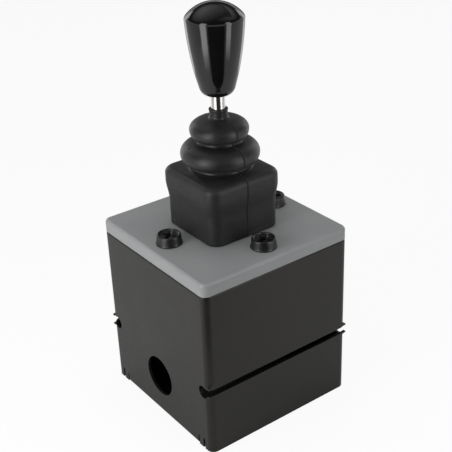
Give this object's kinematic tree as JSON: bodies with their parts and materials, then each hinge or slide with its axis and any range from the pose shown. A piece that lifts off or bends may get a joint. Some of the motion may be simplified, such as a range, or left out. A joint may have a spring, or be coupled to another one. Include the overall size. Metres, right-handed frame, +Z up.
{
  "type": "hydraulic pilot joystick valve",
  "caption": "Two-axis hand joystick: tapered knob on a rod, rubber gaiter on a grey plate, square sheet-metal box, four-plunger pilot valve inside.",
  "frame": {"origin": "centre of the box's open bottom, on the surface it stands on", "axes": "+Z up along the lever, -Y towards the wall with the cable hole, +X and -X through the slotted side walls"},
  "size_m": [0.12, 0.12, 0.2834],
  "materials": {
    "black_powder_coat": "satin black powder coat on folded steel",
    "grey_plate": "even satin mid grey",
    "black_screw": "black, slightly glossy",
    "cast_body": "phosphated cast iron",
    "zinc_steel": "zinc plated",
    "machined_steel": "fine machined",
    "bronze": "sintered bronze",
    "seal_rubber": "matt black",
    "gaiter_rubber": "matt black moulded rubber",
    "spring_steel": "drawn wire",
    "bright_rod": "bright polished",
    "brass": "turned",
    "gloss_knob": "high gloss black phenolic"
  },
  "bodies": {
    "root": {"console_shell": "black_powder_coat", "top_plate": "grey_plate", "plate_screws": "black_screw", "valve_body": "cast_body", "port_block": "cast_body", "port_block_screws": "zinc_steel", "guide_block": "machined_steel", "guide_screws": "zinc_steel", "guide_bushes": "bronze", "plunger_seals": "seal_rubber", "joint_base_yoke": "machined_steel", "gaiter_base": "gaiter_rubber", "gaiter_bellows": "gaiter_rubber", "return_spring_east": "spring_steel", "return_spring_north": "spring_steel", "return_spring_west": "spring_steel", "return_spring_south": "spring_steel", "metering_spring_east": "spring_steel", "metering_spring_north": "spring_steel", "metering_spring_west": "spring_steel", "metering_spring_south": "spring_steel"},
    "gimbal": {"joint_cross_block": "machined_steel", "joint_long_pin": "machined_steel", "joint_cross_pin": "machined_steel"},
    "lever": {"actuating_plate": "machined_steel", "lock_nut": "zinc_steel", "lever_rod": "bright_rod", "knob_insert": "brass", "knob": "gloss_knob", "gaiter_neck": "gaiter_rubber"},
    "plunger_east": {"plunger_east": "machined_steel"},
    "spool_east": {"spool_east": "machined_steel"},
    "plunger_north": {"plunger_north": "machined_steel"},
    "spool_north": {"spool_north": "machined_steel"},
    "plunger_west": {"plunger_west": "machined_steel"},
    "spool_west": {"spool_west": "machined_steel"},
    "plunger_south": {"plunger_south": "machined_steel"},
    "spool_south": {"spool_south": "machined_steel"}
  },
  "joints": [
    {"name": "tilt_x", "type": "hinge", "parent": "root", "child": "gimbal", "pos_m": [0, 0, 0.15], "axis": [1, 0, 0], "range_deg": [-18, 18], "stiffness_Nm_per_rad": 2.5},
    {"name": "tilt_y", "type": "hinge", "parent": "gimbal", "child": "lever", "pos_m": [0, 0, 0.15], "axis": [0, 1, 0], "range_deg": [-18, 18], "stiffness_Nm_per_rad": 2.5, "deforming": ["gaiter_bellows"]},
    {"name": "plunger_east_slide", "type": "slide", "parent": "root", "child": "plunger_east", "axis": [0, 0, 1], "range_m": [-0.00514, 0.00514], "deforming": ["return_spring_east", "metering_spring_east"]},
    {"name": "spool_east_slide", "type": "slide", "parent": "root", "child": "spool_east", "axis": [0, 0, 1], "range_m": [-0.00186, 0.00186]},
    {"name": "plunger_north_slide", "type": "slide", "parent": "root", "child": "plunger_north", "axis": [0, 0, 1], "range_m": [-0.00514, 0.00514], "deforming": ["return_spring_north", "metering_spring_north"]},
    {"name": "spool_north_slide", "type": "slide", "parent": "root", "child": "spool_north", "axis": [0, 0, 1], "range_m": [-0.00186, 0.00186]},
    {"name": "plunger_west_slide", "type": "slide", "parent": "root", "child": "plunger_west", "axis": [0, 0, 1], "range_m": [-0.00514, 0.00514], "deforming": ["return_spring_west", "metering_spring_west"]},
    {"name": "spool_west_slide", "type": "slide", "parent": "root", "child": "spool_west", "axis": [0, 0, 1], "range_m": [-0.00186, 0.00186]},
    {"name": "plunger_south_slide", "type": "slide", "parent": "root", "child": "plunger_south", "axis": [0, 0, 1], "range_m": [-0.00514, 0.00514], "deforming": ["return_spring_south", "metering_spring_south"]},
    {"name": "spool_south_slide", "type": "slide", "parent": "root", "child": "spool_south", "axis": [0, 0, 1], "range_m": [-0.00186, 0.00186]}
  ],
  "couplings": [
    {"joint": "plunger_east_slide", "follows": "tilt_y", "m_per_rad": -0.016031},
    {"joint": "spool_east_slide", "follows": "tilt_y", "m_per_rad": -0.005611},
    {"joint": "plunger_north_slide", "follows": "tilt_x", "m_per_rad": 0.016031},
    {"joint": "spool_north_slide", "follows": "tilt_x", "m_per_rad": 0.005611},
    {"joint": "plunger_west_slide", "follows": "tilt_y", "m_per_rad": 0.016031},
    {"joint": "spool_west_slide", "follows": "tilt_y", "m_per_rad": 0.005611},
    {"joint": "plunger_south_slide", "follows": "tilt_x", "m_per_rad": -0.016031},
    {"joint": "spool_south_slide", "follows": "tilt_x", "m_per_rad": -0.005611}
  ]
}
